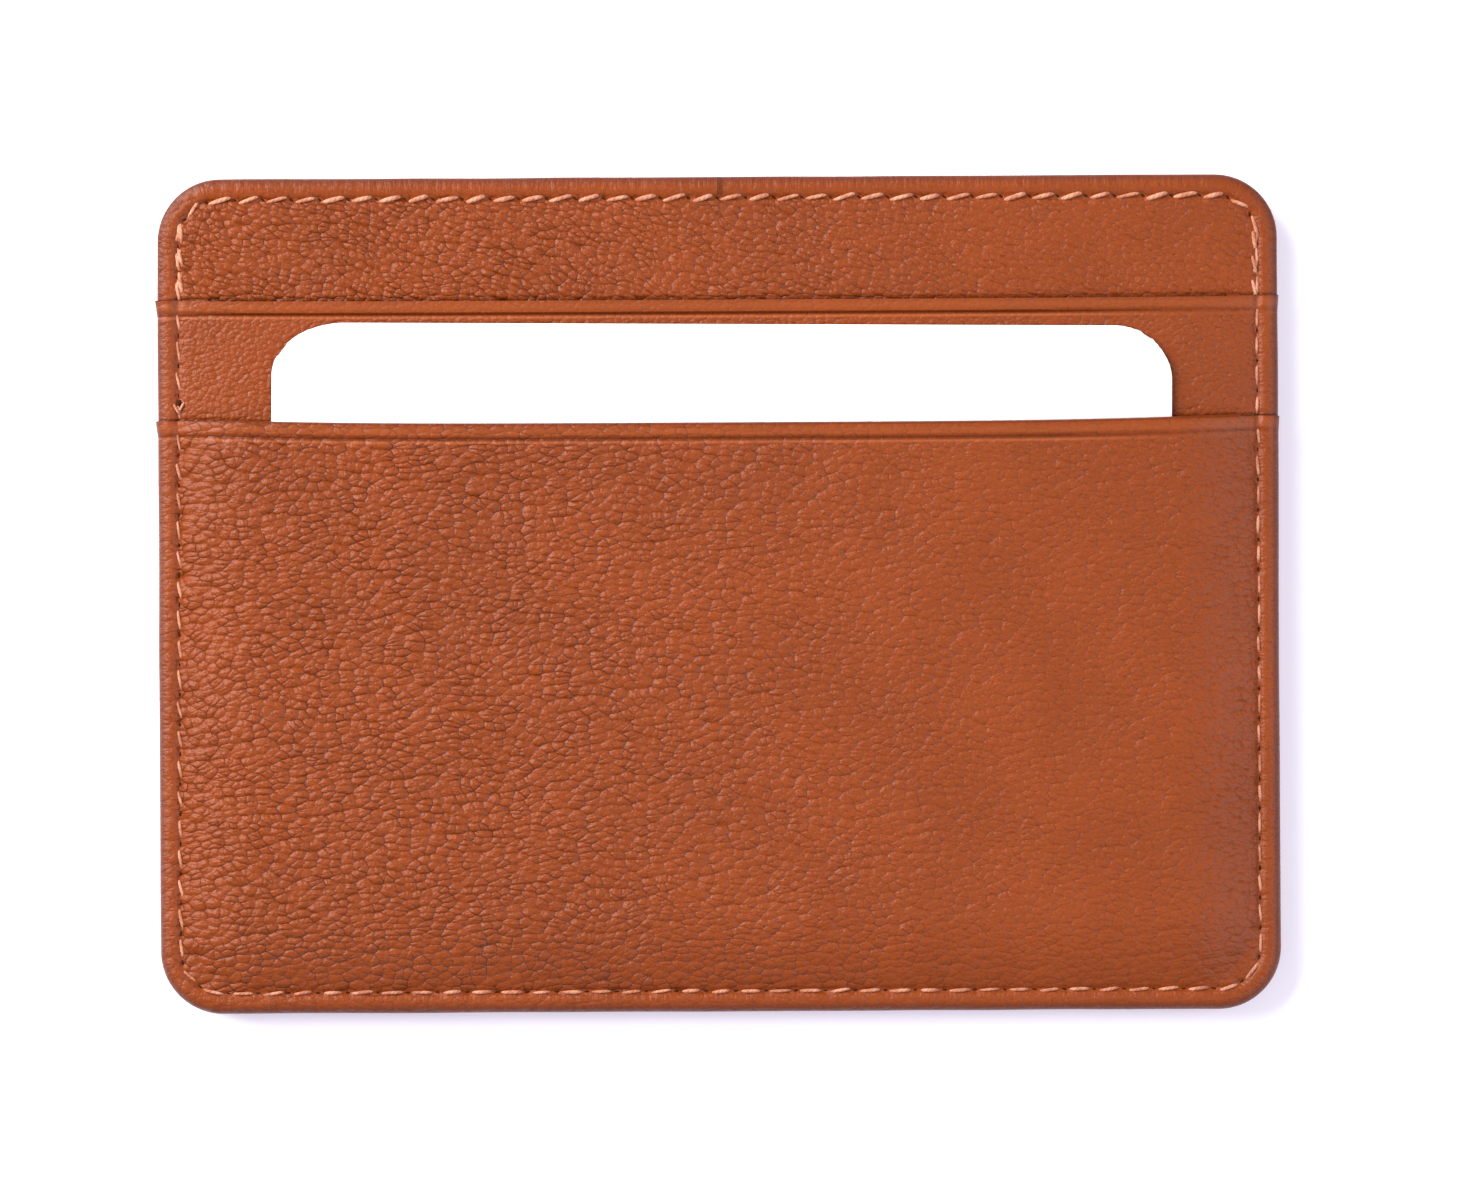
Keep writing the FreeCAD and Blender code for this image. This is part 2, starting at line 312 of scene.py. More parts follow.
def leather_blank(name, steps_x, steps_y):
    """The flat blank with its skirt. The steps are pairs of cuts along the straight edges."""
    bpy.ops.mesh.primitive_plane_add(size=1)
    blank = bpy.context.object
    blank.name = name
    blank.data.name = name
    blank.scale = (2 * HALF_X, 2 * HALF_Y, 1)
    bpy.ops.object.transform_apply(location=False, rotation=False, scale=True)
    start_edit()
    bpy.ops.mesh.bevel(offset=CORNER, segments=CORNER_STEPS, affect="VERTICES", profile=0.5)
    bpy.ops.mesh.delete(type="ONLY_FACE")
    for axis, steps in ((1, steps_x), (0, steps_y)):
        pick(blank, "edges", lambda e: e.calc_length() > LONG_EDGE
             and abs(e.verts[0].co[axis] - e.verts[1].co[axis]) < HAIR)
        for count in steps:
            bpy.ops.mesh.subdivide(number_cuts=count - 1)
    bpy.ops.mesh.select_all(action="SELECT")
    bpy.ops.mesh.edge_face_add()
    done = 0.0
    for ring in RINGS:
        bpy.ops.mesh.inset(thickness=(ring - done) * MM, depth=0, use_boundary=True)
        done = ring
    bpy.ops.mesh.delete(type="ONLY_FACE")
    fill_middle(blank, steps_y[0] * steps_y[1] + CORNER_STEPS)
    for _ in SKIRT:
        lowest = min(v.co.z for v in bmesh.from_edit_mesh(blank.data).verts)
        pick(blank, "edges", lambda e: e.is_boundary and e.verts[0].co.z < lowest + SKIRT_MARK / 2)
        bpy.ops.mesh.extrude_edges_move(TRANSFORM_OT_translate={"value": (0, 0, -SKIRT_MARK)})
    bpy.ops.mesh.select_all(action="SELECT")
    bpy.ops.mesh.normals_make_consistent(inside=False)
    if sum(f.normal.z for f in bmesh.from_edit_mesh(blank.data).faces) < 0:
        bpy.ops.mesh.flip_normals()
    return blank


def fill_middle(blank, span):
    """Fills the innermost ring with a grid whose corners lie on the ring's round corners."""
    inner_x = HALF_X - RINGS[-1] * MM + 10 * HAIR
    inner_y = HALF_Y - RINGS[-1] * MM + 10 * HAIR
    pick(blank, "edges", lambda e: e.is_boundary
         and max(abs(v.co.x) for v in e.verts) < inner_x and max(abs(v.co.y) for v in e.verts) < inner_y)
    form = bmesh.from_edit_mesh(blank.data)
    corner = max((v for v in form.verts if v.select), key=lambda v: v.co.x + v.co.y)
    form.select_history.clear()
    form.select_history.add(corner)
    bpy.ops.mesh.fill_grid(span=span, offset=0)


# %% [markdown]
# ## Cutting the mouth and rolling its hem
# A pocket is the blank cut off at its mouth. The hem beside a mouth needs close rows, so the bisect
# operator first draws them, and then cuts the rest away. The cut edge is extruded round in a small roll
# and back under itself, as the turned edge of a real pocket is. The rows are in millimetres from a mouth.

# %% The mouth's rows and its roll
HEM_ROWS = (0.12, 0.3, 0.55, 0.85, 1.1, 1.24, 1.36, 1.5, 1.75, 2.1)
DIP_ROWS = (-0.4, -0.15, 0.0, 0.12, 0.24, 0.36, 0.48, 0.6, 0.75, 0.95)
ROLL_AHEAD = (0.0, 0.09, 0.16, 0.19, 0.17, 0.10, 0.0, -1.2, -4.2)
ROLL_DOWN = (0.0, 0.10, 0.26, 0.46, 0.66, 0.86, 1.0, 1.0, 1.0)


def draw_rows(rows):
    """Draws straight rows of edges across the blank."""
    for row in rows:
        bpy.ops.mesh.select_all(action="SELECT")
        bpy.ops.mesh.bisect(plane_co=(0, row, 0), plane_no=(0, 1, 0))


def cut_mouth(blank, mouth):
    """Cuts the blank off at its mouth, and rolls the cut edge under."""
    draw_rows([mouth - row * MM for row in HEM_ROWS])
    bpy.ops.mesh.select_all(action="SELECT")
    bpy.ops.mesh.bisect(plane_co=(0, mouth, 0), plane_no=(0, 1, 0), clear_outer=True)
    pick(blank, "edges", lambda e: e.is_boundary
         and min(v.co.y for v in e.verts) > mouth - HAIR
         and min(v.co.z for v in e.verts) > -SKIRT_MARK / 2
         and max(abs(v.co.x) for v in e.verts) < HALF_X - RINGS[-1] * MM)
    for _ in ROLL_AHEAD[1:]:
        bpy.ops.mesh.extrude_edges_move(TRANSFORM_OT_translate={"value": (0, 0, ROLL_MARK)})


# %% [markdown]
# ## What the hand adds
# A hem rises in a soft roll over a pressed crease, which is fainter to the right. Hand work is never
# even, so waves, lumps and pleats come from a noise function. The back's lower pocket lies on the table,
# so its hem stays flat and its waves only go inwards.

# %% Hem, waves and tucks
CREASE = 0.20 * MM
SHOULDER = 0.06 * MM
END_LIFT = 0.12 * MM
WAVE = 0.030 * MM
LUMP = 0.012 * MM
PLEAT = 0.022 * MM
CORNER_PLEAT = 0.05 * MM
UNDER_NEXT = {"panel": 0.5 * MM, "upper_pocket": 0.45 * MM, "lower_pocket": 0.0}
UNDER_BOTH = 0.4 * MM
LEFT_END, RIGHT_END = 0.22 * MM, 0.09 * MM


def wave(x, y, size_x, size_y, seed):
    """Smooth noise from -1 to 1 with the given wave sizes, one value per point."""
    return np.array([noise.noise(Vector((a / size_x, b / size_y, seed))) for a, b in zip(x, y)])


def hem_rise(side, layer):
    return 0.0 if (side, layer) == ("back", "lower_pocket") else HEM_RISE


def hem_profile(side, layer, x, y, inset):
    """The hem's roll, the crease under it, the shoulder below that, and the hem's thick ends."""
    below = mouth_at[layer] - y
    rise = hem_rise(side, layer)
    fade = smooth(HALF_X - np.abs(x), 1.5 * MM, 7 * MM) * (1 - 0.9 * smooth(x, 28 * MM, 45 * MM))
    dome = 1 - 0.9 * (below / HEM_WIDTH - 0.42) ** 2
    roll = rise * dome * smooth(HEM_WIDTH + 0.1 * MM - below, 0, 0.3 * MM)
    crease = CREASE * fade * hump(below, HEM_WIDTH, 0.12 * MM)
    shoulder = SHOULDER * fade * hump(below, 1.55 * MM, 0.17 * MM) * (rise > 0)
    ends = END_LIFT * smooth(HEM_WIDTH - below, 0, 0.5 * MM) * (1 - smooth(inset, 1 * MM, 3 * MM))
    return (roll - crease + shoulder) * smooth(inset, 0.2 * MM, 2.6 * MM) + ends


def hand_work(side, layer, x, y, seed):
    """Waves and lumps in the middle, and small pleats along the border, deepest at the corners."""
    inset = edge_inset(x, y)[0]
    slow = wave(x, y, 17 * MM, 11 * MM, seed)
    lumps = wave(x + 0.2 * y, y - 0.16 * x, 2.6 * MM, 1.4 * MM, seed + 5)
    if (side, layer) == ("back", "lower_pocket"):
        slow, lumps = slow - 1, lumps - 1
    pleats = wave(along_seam(x, y), inset * 0.3, 1.5 * MM, 1.5 * MM, seed + 9)
    border = 1 - smooth(inset, 1.5 * MM, 2.0 * MM)
    in_corner = hump(np.abs(x), STRAIGHT_X, 7 * MM) * hump(np.abs(y), STRAIGHT_Y, 7 * MM)
    waves = smooth(inset, 2.4 * MM, 8 * MM) * (WAVE * slow + LUMP * lumps)
    return waves + border * pleats * (PLEAT + CORNER_PLEAT * in_corner)


def tucked(layer, x, y):
    """How far the edge is pulled in under the layers above it, and let out at its mouth's ends."""
    tuck = covered(layer, y) * UNDER_NEXT[layer]
    if layer == "panel":
        return tuck + UNDER_BOTH * covered("upper_pocket", y)
    ends = np.where(x < 0, LEFT_END, RIGHT_END)
    return tuck - ends * np.clip(1 - (mouth_at[layer] - y) / (1.5 * MM), 0, 1)


# %% [markdown]
# ## Pressing the blank into shape
# Now every point is moved to its height. The skirt goes down to the middle plane and tucks in a little.
# Layers under others are pulled in at their edge, so that a small step shows at each mouth.
# Two UV maps keep the flat blank's distances, so that the finish can follow the seam and the hem.

# %% Pressing
SKIRT_FOOT = 0.04 * MM
SKIRT_TUCK = 0.35 * MM
WANDER = 0.05 * MM
TURNED_EDGE = 5


def set_map(piece, name, first, second):
    """A UV map that keeps two distances for each point, in millimetres."""
    uv_map = piece.data.uv_layers.new(name=name)
    corners = np.empty(len(piece.data.loops), int)
    piece.data.loops.foreach_get("vertex_index", corners)
    uv_map.data.foreach_set("uv", np.stack([first, second], axis=1)[corners].astype(np.float32).ravel() / MM)


def set_thickness(piece, inset, roll_step):
    """Thins the leather at its rim and in its turned edge, as a skiving knife does."""
    group = piece.vertex_groups.new(name="thickness")
    weight = np.round(0.72 + 0.28 * smooth(inset, 2.6 * MM, 5 * MM), 2)
    weight = np.where(roll_step > TURNED_EDGE, 0.64, weight)
    for value in np.unique(weight):
        group.add(np.flatnonzero(weight == value).tolist(), float(value), "REPLACE")


def press(piece, side, layer, seed):
    """Moves the flat blank's points to where the finished leather is."""
    bpy.ops.object.mode_set(mode="OBJECT")
    points = points_of(piece)
    x, y, mark = points[:, 0].copy(), points[:, 1].copy(), points[:, 2].copy()
    roll_step = np.where(mark > ROLL_MARK / 2, np.round(mark / ROLL_MARK), 0).astype(int)
    skirt_step = np.where(mark < -SKIRT_MARK / 2, np.round(-mark / SKIRT_MARK), 0).astype(int)
    inset, out_x, out_y = edge_inset(x, y)
    run = along_seam(x, y)
    mouth = mouth_at[layer]
    set_map(piece, "edge_map", run, inset)
    set_map(piece, "mouth_map", x, mouth - y)
    set_thickness(piece, inset, roll_step)
    height = layer_height(side, layer, x, y)
    if layer != "panel":
        height += hem_profile(side, layer, x, y, inset)
    height += hand_work(side, layer, x, y, seed)
    share = np.array((0.0,) + SKIRT)[skirt_step]
    height = height * (1 - share) + SKIRT_FOOT * share
    height -= np.array(ROLL_DOWN)[roll_step] * (HEM_STACK + 0.84 * hem_rise(side, layer))
    wander = WANDER * wave(run, run * 0, 9 * MM, 9 * MM, seed + 3)
    pull = tucked(layer, x, y) + share ** 3 * SKIRT_TUCK - wander
    pull = pull * (1 - smooth(inset, 0.8 * MM, 2.4 * MM))
    new_x = x - out_x * pull
    new_y = y - out_y * pull + mouth_sag(layer, x) * smooth(y, mouth - 9 * MM, mouth)
    new_y += np.array(ROLL_AHEAD)[roll_step] * MM
    move_points(piece, np.stack([new_x, new_y, MIDDLE + outward[side] * height], axis=1))
    if side == "back":
        start_edit()
        bpy.ops.mesh.flip_normals()
        bpy.ops.object.mode_set(mode="OBJECT")


# %% [markdown]
# ## Making the six leather pieces
# The front and the back each have a panel and two pockets. Solidify gives the pressed skin its
# thickness, and a smooth shade by angle keeps the roll round and the cut edges crisp.

# %% The panels and the pockets
FINE = ((16, 14), (14, 11))
COARSE = ((14, 12), (12, 9))
layer_plan = {"panel": (COARSE, 1.3), "upper_pocket": (COARSE, 4.1), "lower_pocket": (FINE, 7.7)}


def leather_piece(side, layer, steps, seed):
    """One leather: cut, rolled, pressed and given its thickness."""
    name = f"{side}_{layer}_leather"
    piece = leather_blank(name, *steps)
    if layer != "panel":
        cut_mouth(piece, mouth_at[layer])
    if layer != "lower_pocket":
        draw_rows([mouth_at[layer_over[layer]] + row * MM for row in DIP_ROWS])
    press(piece, side, layer, seed)
    bake_modifier(piece, "SOLIDIFY", thickness=LEATHER, offset=-1, use_quality_normals=True,
                  vertex_group="thickness")
    only(piece)
    bpy.ops.object.shade_smooth_by_angle(angle=math.radians(50))
    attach(piece, "holder")
    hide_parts(f"{side}_{layer}")
    box = [piece.bound_box[0][2] / MM, piece.bound_box[6][2] / MM]
    print(name, "faces:", len(piece.data.polygons), "z in mm:", np.round(box, 2))
    return piece


leathers = {}
for number, side in enumerate(outward):
    for layer, (steps, seed) in layer_plan.items():
        leathers[side, layer] = leather_piece(side, layer, steps, seed + 20 * number)

# %% [markdown]
# ## The lining cloth
# Thin cloth lines the back of every pocket and both walls of the middle compartment. It is caught in the
# seam on three sides and ends under the turned edge of the leather. A grid is enough here: it is pinched
# down beside the seam like the leather over it.

# %% Lining sheets
SIDE_GAP = 1.2 * MM
LINING = 0.08 * MM
WALL_GAP = 0.045 * MM
LEATHER_GAP = 0.05 * MM
SNIPS = 7
layer_below = {"compartment": None, "upper_pocket": "panel", "lower_pocket": "upper_pocket"}


def round_lower_corners(width, low_y):
    """Cuts the two lower corners round with straight snips."""
    radius = CORNER - SIDE_GAP
    for hand in (-1, 1):
        centre = Vector((hand * (width / 2 - radius), low_y + radius, 0))
        for snip in range(SNIPS):
            angle = math.radians((snip + 0.5) / SNIPS * 90)
            way = Vector((hand * math.cos(angle), -math.sin(angle), 0))
            bpy.ops.mesh.select_all(action="SELECT")
            bpy.ops.mesh.bisect(plane_co=centre + way * radius, plane_no=way, clear_outer=True)


def lining_sheet(side, layer):
    """A sheet with the CAD node's outline, which follows the layer below it near the seam."""
    node = f"{side}_{layer}_lining"
    sign = outward[side]
    low_corner, high_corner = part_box(node)
    width, height = high_corner.x - low_corner.x, high_corner.y - low_corner.y
    bpy.ops.mesh.primitive_grid_add(x_subdivisions=96, y_subdivisions=64, size=1)
    sheet = bpy.context.object
    sheet.name = node + "_cloth"
    sheet.data.name = sheet.name
    sheet.scale = (width, height, 1)
    sheet.location = (0, (low_corner.y + high_corner.y) / 2, 0)
    bpy.ops.object.transform_apply(location=True, rotation=False, scale=True)
    start_edit()
    round_lower_corners(width, low_corner.y)
    if side == "back":
        bpy.ops.mesh.select_all(action="SELECT")
        bpy.ops.mesh.flip_normals()
    bpy.ops.object.mode_set(mode="OBJECT")
    points = points_of(sheet)
    flat = max(sign * (low_corner.z - MIDDLE), sign * (high_corner.z - MIDDLE)) - LINING / 2
    inside = np.minimum(HALF_X - np.abs(points[:, 0]), HALF_Y + points[:, 1])
    climb = smooth(inside, 2.2 * MM, 9.5 * MM)
    below = layer_below[layer]
    base, base_flat = WALL_GAP, WALL_GAP
    if below:
        base = layer_height(side, below, points[:, 0], points[:, 1]) + LEATHER_GAP
        base_flat = flat_top[side, below] + LEATHER_GAP
    points[:, 2] = MIDDLE + sign * (base + climb * (flat - base_flat))
    move_points(sheet, points)
    bake_modifier(sheet, "SOLIDIFY", thickness=LINING, offset=0)
    bpy.ops.object.shade_smooth_by_angle(angle=math.radians(40))
    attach(sheet, "holder")
    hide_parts(node)
    return sheet


linings = [lining_sheet(side, layer) for side in outward for layer in layer_below]
print("linings:", [(sheet.name, len(sheet.data.polygons)) for sheet in linings])

# %% [markdown]
# ## The blank card
# A white card stands in the lower pocket. Its top corners were cut by hand, so their arcs aren't quite
# round, carry tiny burrs, and one has a nick. The plane is extruded to its thickness, and its edges get
# a very small bevel.

# %% Card
card_low, card_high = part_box("blank_card")
CARD_TILT = math.radians(-0.5)
CARD_WIDTH = 80.2 * MM
CARD_HEIGHT = 55.0 * MM
CARD_CORNER = 5.2 * MM
NICK_START, NICK_END, NICK_DEPTH = 0.42, 0.62, 0.02
card_arcs = {-1: (6.6 * MM, 4.7 * MM, 0.02), 1: (5.2 * MM, 5.0 * MM, 0.055)}


def round_top_corners(form):
    """Moves the top corners' points to their arcs. Each arc has a width, a height and a roughness."""
    hand = random.Random(3)
    for v in form.verts:
        if v.co.y > 0:
            side = -1 if v.co.x < 0 else 1
            wide, tall, rough = card_arcs[side]
            turn = math.atan2(v.co.y - CARD_HEIGHT / 2 + CARD_CORNER,
                              side * v.co.x - CARD_WIDTH / 2 + CARD_CORNER)
            burr = 1 + hand.uniform(-rough, rough) * math.sin(2 * turn) / 4
            if side < 0 and NICK_START < turn < NICK_END:
                burr -= NICK_DEPTH
            v.co.x = side * (CARD_WIDTH / 2 - wide * (1 - math.cos(turn) * burr))
            v.co.y = CARD_HEIGHT / 2 - tall * (1 - math.sin(turn) * burr)


def card_piece():
    """The card, standing a little askew where the CAD node stands."""
    bpy.ops.mesh.primitive_plane_add(size=1)
    card = bpy.context.object
    card.name = "white_card"
    card.scale = (CARD_WIDTH, CARD_HEIGHT, 1)
    bpy.ops.object.transform_apply(location=False, rotation=False, scale=True)
    start_edit()
    bpy.ops.mesh.bevel(offset=CARD_CORNER, segments=26, affect="VERTICES", profile=0.5)
    round_top_corners(bmesh.from_edit_mesh(card.data))
    bmesh.update_edit_mesh(card.data)
    bpy.ops.mesh.select_all(action="SELECT")
    thickness = card_high.z - card_low.z
    bpy.ops.mesh.extrude_region_move(TRANSFORM_OT_translate={"value": (0, 0, thickness)})
    bpy.ops.mesh.select_all(action="SELECT")
    bpy.ops.mesh.normals_make_consistent(inside=False)
    pick(card, "edges", lambda e: abs(e.verts[0].co.z - e.verts[1].co.z) < 0.1 * HAIR)
    bpy.ops.mesh.bevel(offset=0.04 * MM, segments=2, affect="EDGES")
    bpy.ops.object.mode_set(mode="OBJECT")
    card.rotation_euler = (0, 0, CARD_TILT)
    card.location = ((card_low.x + card_high.x) / 2, (card_low.y + card_high.y) / 2, card_low.z)
    bpy.ops.object.transform_apply(location=True, rotation=True, scale=False)
    bpy.ops.object.shade_smooth_by_angle(angle=math.radians(30))
    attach(card, "card")
    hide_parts("blank_card")
    return card


white_card = card_piece()
print("card in mm:", [round(x / MM, 1) for x in white_card.dimensions])

# %% [markdown]
# ## One stitch, many copies
# A stitch comes out of one needle hole and dives into the next. It is modelled once as a cylinder whose
# middle swells and whose ends bend down, and each copy gets its own length, turn and thickness. The
# cylinder's UV map stays with every copy, so the twist of the thread can follow it.

# %% The stitch
def stitch_form():
    """A stitch one unit long and two units thick, lying along X with its ends bent down."""
    bpy.ops.mesh.primitive_cylinder_add(vertices=8, radius=1, depth=1, rotation=(0, math.pi / 2, 0))
    form = bpy.context.object
    form.name = "stitch_form"
    bpy.ops.object.transform_apply(location=False, rotation=True, scale=False)
    start_edit()
    pick(form, "edges", lambda e: abs(e.verts[0].co.x - e.verts[1].co.x) > 0.5)
    bpy.ops.mesh.subdivide(number_cuts=7)
    bpy.ops.object.mode_set(mode="OBJECT")
    points = points_of(form)
    along = np.abs(points[:, 0]) * 2
    slim = 1 - 0.55 * along ** 2.5
    points[:, 1] *= slim
    points[:, 2] = points[:, 2] * slim * 0.85 - 1.3 * smooth(along, 0.55, 1.05)
    move_points(form, points)
    bpy.ops.object.shade_smooth_by_angle(angle=math.radians(60))
    return form


stitch = stitch_form()
print("faces in one stitch:", len(stitch.data.polygons))

# %% [markdown]
# ## Laying a row of stitches
# Each stitch is laid on the leather's own height, halfway between two needle holes, and no two are quite
# alike. Down the sides the thread is a little thinner and half sunk in the leather.

# %% Laying stitches
LEFT_LEAN, RIGHT_LEAN = 11, 2


def face_height(side, x, y):
    """The height of the outermost leather at one point."""
    layer = "lower_pocket"
    if y > mouth_at["lower_pocket"]:
        layer = "panel" if y > mouth_at["upper_pocket"] else "upper_pocket"
    return float(layer_height(side, layer, np.array([x]), np.array([y]))[0])


def lay_copy(form, side, x, y, heading, size, depth):
    """A copy of a small form with its own mesh, laid on one half of the holder."""
    copy = form.copy()
    copy.data = form.data.copy()
    bpy.context.collection.objects.link(copy)
    height = MIDDLE + outward[side] * (face_height(side, x, y) + depth)
    turn = Matrix.Rotation(heading, 4, "Z")
    flip = Matrix.Rotation(0 if side == "front" else math.pi, 4, "X")
    copy.matrix_world = Matrix.Translation((x, y, height)) @ turn @ flip @ Matrix.Diagonal((*size, 1))
    return copy


def joined(copies, name):
    """The copies as one piece whose object sits at the origin."""
    only(copies[0])
    for copy in copies:
        copy.select_set(True)
    bpy.ops.object.join()
    bpy.ops.object.transform_apply(location=True, rotation=True, scale=True)
    copies[0].name = name
    copies[0].data.name = name
    return copies[0]


def thread_row(side, holes, name, node, kind, seed, offset=0.0):
    """One thread: a stitch between each two needle holes, moved inwards by offset.

    kind is the thread's thickness, how much of the gap a stitch spans, and how many degrees it leans.
    """
    thickness, share, slant = kind
    hand = random.Random(seed)
    copies = []
    for start, end in zip(holes[:-1], holes[1:]):
        x, y, heading = seam_point((start + end) / 2)
        aside = offset + hand.uniform(-0.05, 0.05) * MM
        x -= aside * math.sin(heading)
        y += aside * math.cos(heading)
        upright = abs(math.sin(heading))
        width = thickness * (1 - 0.12 * upright) * hand.uniform(0.84, 1.14) / 2
        length = (end - start) * share * hand.uniform(0.90, 1.10)
        lean = slant
        if upright > 0.7 and slant > 0 and offset == 0:
            lean = LEFT_LEAN if x < 0 else RIGHT_LEAN
        tilt = math.radians(lean + hand.uniform(-5, 5))
        depth = width * (0.72 - 0.45 * upright)
        copies.append(lay_copy(stitch, side, x, y, heading + tilt, (length, width, width), depth))
    row = joined(copies, name)
    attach(row, "holder")
    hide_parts(node)
    return row


# %% [markdown]
# ## Sewing the rows
# The hem row's stitches are thick and slanted, because the needle pulled each one across the row. The
# seam's are thinner. Below both top corners a back-tack locks the seam: the same few holes are sewn
# twice, and the two passes lean opposite ways.

# %% The threads
HEM_KIND = (0.40 * MM, 0.82, 16)
SEAM_KIND = (0.32 * MM, 0.66, 5)
TACK_COUNT = 4
tack_passes = {
    "": ((0.42 * MM, 0.90, -14), 0.08 * MM),
    "_again": ((0.42 * MM, 0.90, 12), 0.26 * MM),
}
tack_holes = {
    "left": HEM_END + np.linspace(-2.3, 4.4, TACK_COUNT) * MM,
    "right": 4 * QUARTER - HEM_END + np.linspace(-5.3, 1.3, TACK_COUNT) * MM,
}
threads = []
for number, side in enumerate(outward):
    threads.append(thread_row(side, hem_holes, f"{side}_hem_thread", f"{side}_hem_stitching",
                              HEM_KIND, 11 + number))
    threads.append(thread_row(side, seam_holes, f"{side}_seam_thread", f"{side}_seam_stitching",
                              SEAM_KIND, 21 + number))
    for word, holes in tack_holes.items():
        for pass_word, (kind, offset) in tack_passes.items():
            threads.append(thread_row(side, holes, f"{side}_tack_{word}{pass_word}",
                                      f"{side}_tack_stitches", kind, 31 + number, offset))
print("threads:", [(row.name, len(row.data.polygons)) for row in threads])

# %% [markdown]
# ## The torn stitch
# On the left, just above the lower pocket, the needle tore the leather a little, and the thread stands
# up there in two short loops. They are the same stitch form, made thinner and leaned to both sides.

# %% The torn loops
TORN_X = -HALF_X + SEAM_INSET + 0.05 * MM
TORN_Y = mouth_at["lower_pocket"] + 1.9 * MM
LOOPS = ((-0.22, -0.42, -62, (1.25, 0.12, 0.16), 0.14), (0.24, -0.20, -118, (0.95, 0.11, 0.15), 0.16))
loop_copies = []
for right, up, lean, size, above in LOOPS:
    x, y = TORN_X + right * MM, TORN_Y + up * MM
    size = tuple(part * MM for part in size)
    loop_copies.append(lay_copy(stitch, "front", x, y, math.radians(lean), size, above * MM))
torn_loops = joined(loop_copies, "front_torn_loops")
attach(torn_loops, "holder")
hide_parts("front_tack_stitches")
threads.append(torn_loops)
print("torn loops:", len(loop_copies))

# %% [markdown]
# ## The needle holes
# Each needle hole is a small cup sunk in the valley of the seam, painted dark as the shade inside a
# hole. The cup is a flattened sphere, so that it stays closed, and only its top shows. The hem row's
# holes are larger and lean one way.

# %% Needle holes
HEM_HOLE_TURN = -0.75
HOLE_HEIGHT = 0.16 * MM
TORN_HOLE = (0.36 * MM, 0.24 * MM, 0.26 * MM)


def hole_row(side):
    bpy.ops.mesh.primitive_uv_sphere_add(segments=10, ring_count=5, radius=1)
    cup = bpy.context.object
    bpy.ops.object.shade_smooth()
    hand = random.Random(5)
    copies = []
    for run in all_holes:
        x, y, heading = seam_point(run)
        in_hem = min(run, 4 * QUARTER - run) < HEM_END - HAIR
        long = hand.uniform(0.30, 0.38) * MM if in_hem else hand.uniform(0.18, 0.34) * MM
        turn = HEM_HOLE_TURN if in_hem else hand.uniform(-0.2, 0.2)
        wide = hand.uniform(0.11, 0.15) * MM if in_hem else hand.uniform(0.07, 0.12) * MM
        size = (long, wide, HOLE_HEIGHT)
        copies.append(lay_copy(cup, side, x, y, heading + turn, size, -0.03 * MM))
    if side == "front":
        copies.append(lay_copy(cup, side, TORN_X, TORN_Y + 0.12 * MM, 1.2, TORN_HOLE, -0.02 * MM))
    bpy.data.objects.remove(cup)
    row = joined(copies, f"{side}_needle_holes")
    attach(row, "holder")
    return row


needle_holes = [hole_row(side) for side in outward]
bpy.data.objects.remove(stitch)
print("needle holes on each side:", len(all_holes))

# %% [markdown]
# ## Writing node maths as Python
# A material is a small program made of nodes. Wiring each Math node by hand hides the idea, so a wrapper
# round a socket takes the usual signs, and each sign adds the node that does it.

# %% A socket that takes arithmetic
def sign(operation, turned=False):
    """The method behind a sign. turned is for a number before the socket."""
    def method(self, other):
        first, second = (other, self) if turned else (self, other)
        return self.shop.maths(operation, first, second)
    return method


class Wire:
    """A socket of a material that can be used in Python arithmetic."""

    def __init__(self, shop, socket):
        self.shop = shop
        self.socket = socket

    __add__ = __radd__ = sign("ADD")
    __mul__ = __rmul__ = sign("MULTIPLY")
    __sub__ = sign("SUBTRACT")
    __rsub__ = sign("SUBTRACT", turned=True)
    __truediv__ = sign("DIVIDE")
    __pow__ = sign("POWER")


# %% [markdown]
# ## A workshop for one material
# Every other node comes from one method, which sets the node up and feeds its sockets. The methods after
# it name what a maker wants: a place, a soft step, a line, a net of cells, a mixed colour.

